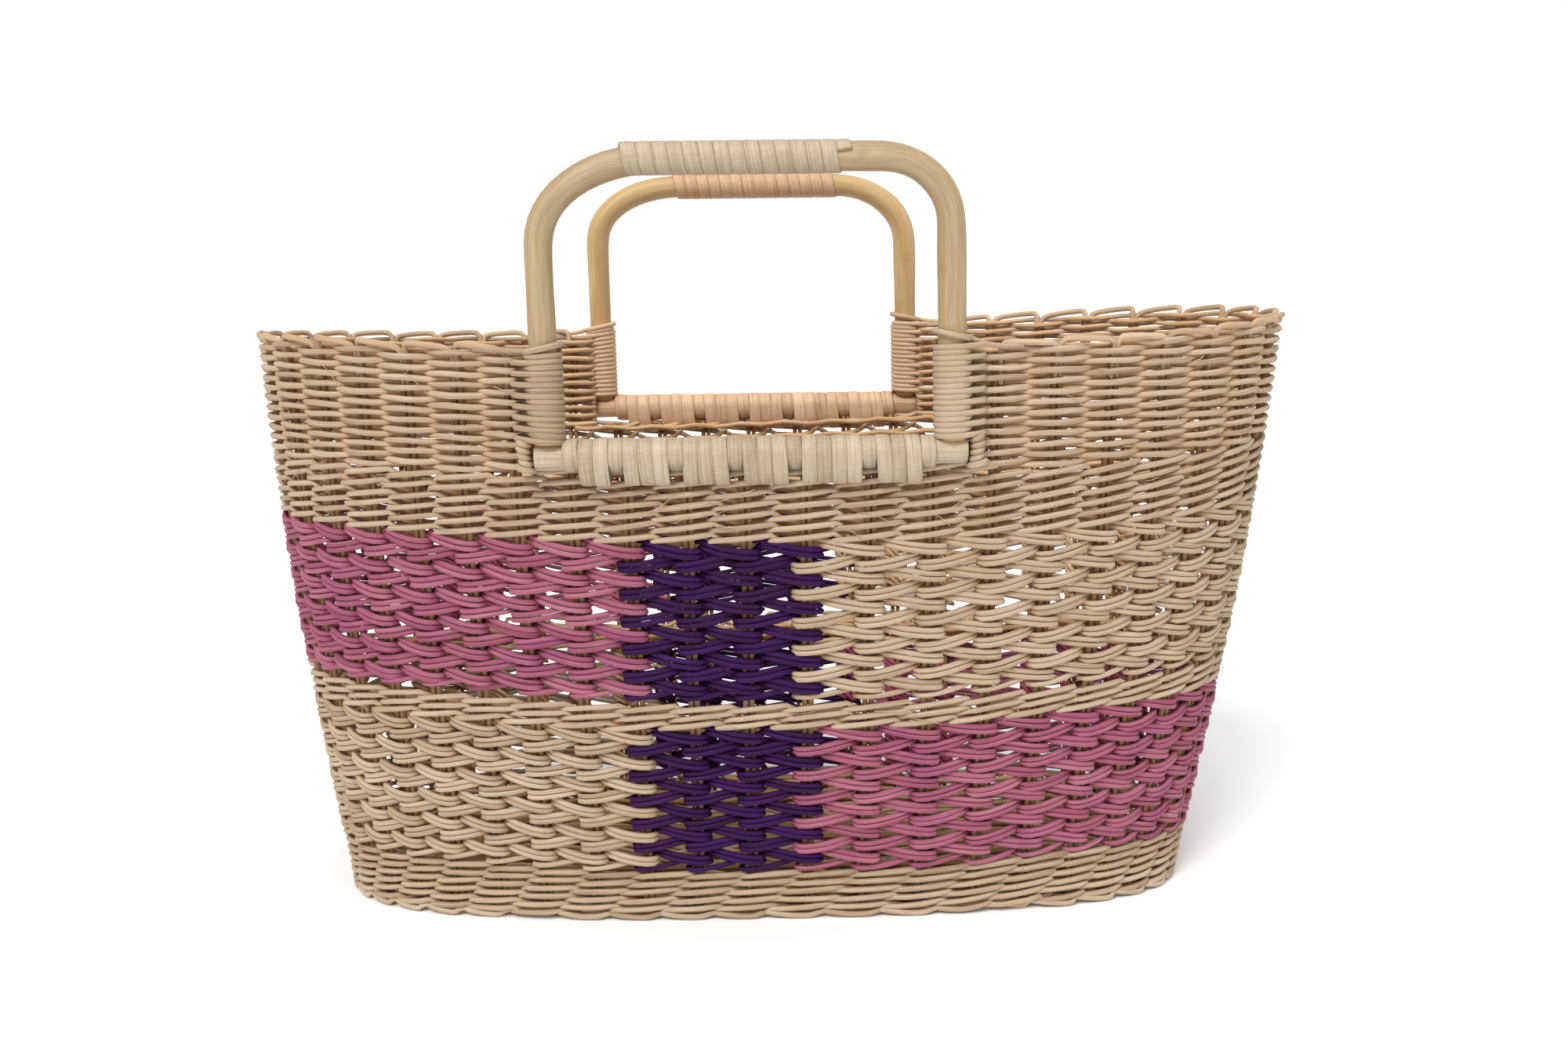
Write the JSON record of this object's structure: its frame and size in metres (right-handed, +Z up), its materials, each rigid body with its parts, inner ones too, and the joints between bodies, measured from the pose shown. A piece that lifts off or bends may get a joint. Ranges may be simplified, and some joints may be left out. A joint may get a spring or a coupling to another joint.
{
  "type": "woven market basket",
  "caption": "Flared oval rattan market basket with openwork dyed bands, raised end panels and a bent cane handle bound into each long side.",
  "frame": {"origin": "on the surface it stands on, under the middle of the basket's box", "axes": "+X along the basket from its left end to its right end, -Y towards its front, +Z up"},
  "size_m": [0.5145, 0.2294, 0.3739],
  "materials": {
    "natural_rattan": "dry undyed rattan rods, matte with a faint sheen",
    "pink_rattan": "rattan rods dyed pink, uneven dye, matte",
    "purple_rattan": "rattan rods dyed dark purple, slight sheen",
    "cane": "peeled bent cane, smooth with long grain",
    "peel": "flat cane peel strips, pale, satin"
  },
  "bodies": {
    "root": {"back_bar_binding": "peel", "back_grip_wrap": "peel", "back_handle_bar": "cane", "back_handle_bow": "cane", "back_left_corner_lashing": "natural_rattan", "back_left_leg_binding": "natural_rattan", "back_right_corner_lashing": "natural_rattan", "back_right_leg_binding": "natural_rattan", "base_weave": "natural_rattan", "cross_stake_01": "natural_rattan", "cross_stake_02": "natural_rattan", "cross_stake_03": "natural_rattan", "cross_stake_04": "natural_rattan", "cross_stake_05": "natural_rattan", "cross_stake_06": "natural_rattan", "cross_stake_07": "natural_rattan", "cross_stake_08": "natural_rattan", "cross_stake_09": "natural_rattan", "cross_stake_10": "natural_rattan", "cross_stake_11": "natural_rattan", "cross_stake_12": "natural_rattan", "cross_stake_13": "natural_rattan", "cross_stake_14": "natural_rattan", "cross_stake_15": "natural_rattan", "cross_stake_16": "natural_rattan", "cross_stake_17": "natural_rattan", "front_bar_binding": "peel", "front_grip_wrap": "peel", "front_handle_bar": "cane", "front_handle_bow": "cane", "front_left_corner_lashing": "natural_rattan", "front_left_leg_binding": "natural_rattan", "front_right_corner_lashing": "natural_rattan", "front_right_leg_binding": "natural_rattan", "left_end_panel": "natural_rattan", "left_rim_border": "natural_rattan", "long_stake_1": "natural_rattan", "long_stake_2": "natural_rattan", "long_stake_3": "natural_rattan", "long_stake_4": "natural_rattan", "long_stake_5": "natural_rattan", "long_stake_6": "natural_rattan", "lower_band_left": "natural_rattan", "lower_band_right": "natural_rattan", "lower_lattice_natural": "natural_rattan", "lower_lattice_pink": "pink_rattan", "lower_lattice_purple_back": "purple_rattan", "lower_lattice_purple_front": "purple_rattan", "middle_band_left": "natural_rattan", "middle_band_right": "natural_rattan", "right_end_panel": "natural_rattan", "right_rim_border": "natural_rattan", "upper_band_left": "natural_rattan", "upper_band_right": "natural_rattan", "upper_lattice_natural": "natural_rattan", "upper_lattice_pink": "pink_rattan", "upper_lattice_purple_back": "purple_rattan", "upper_lattice_purple_front": "purple_rattan"}
  },
  "joints": []
}
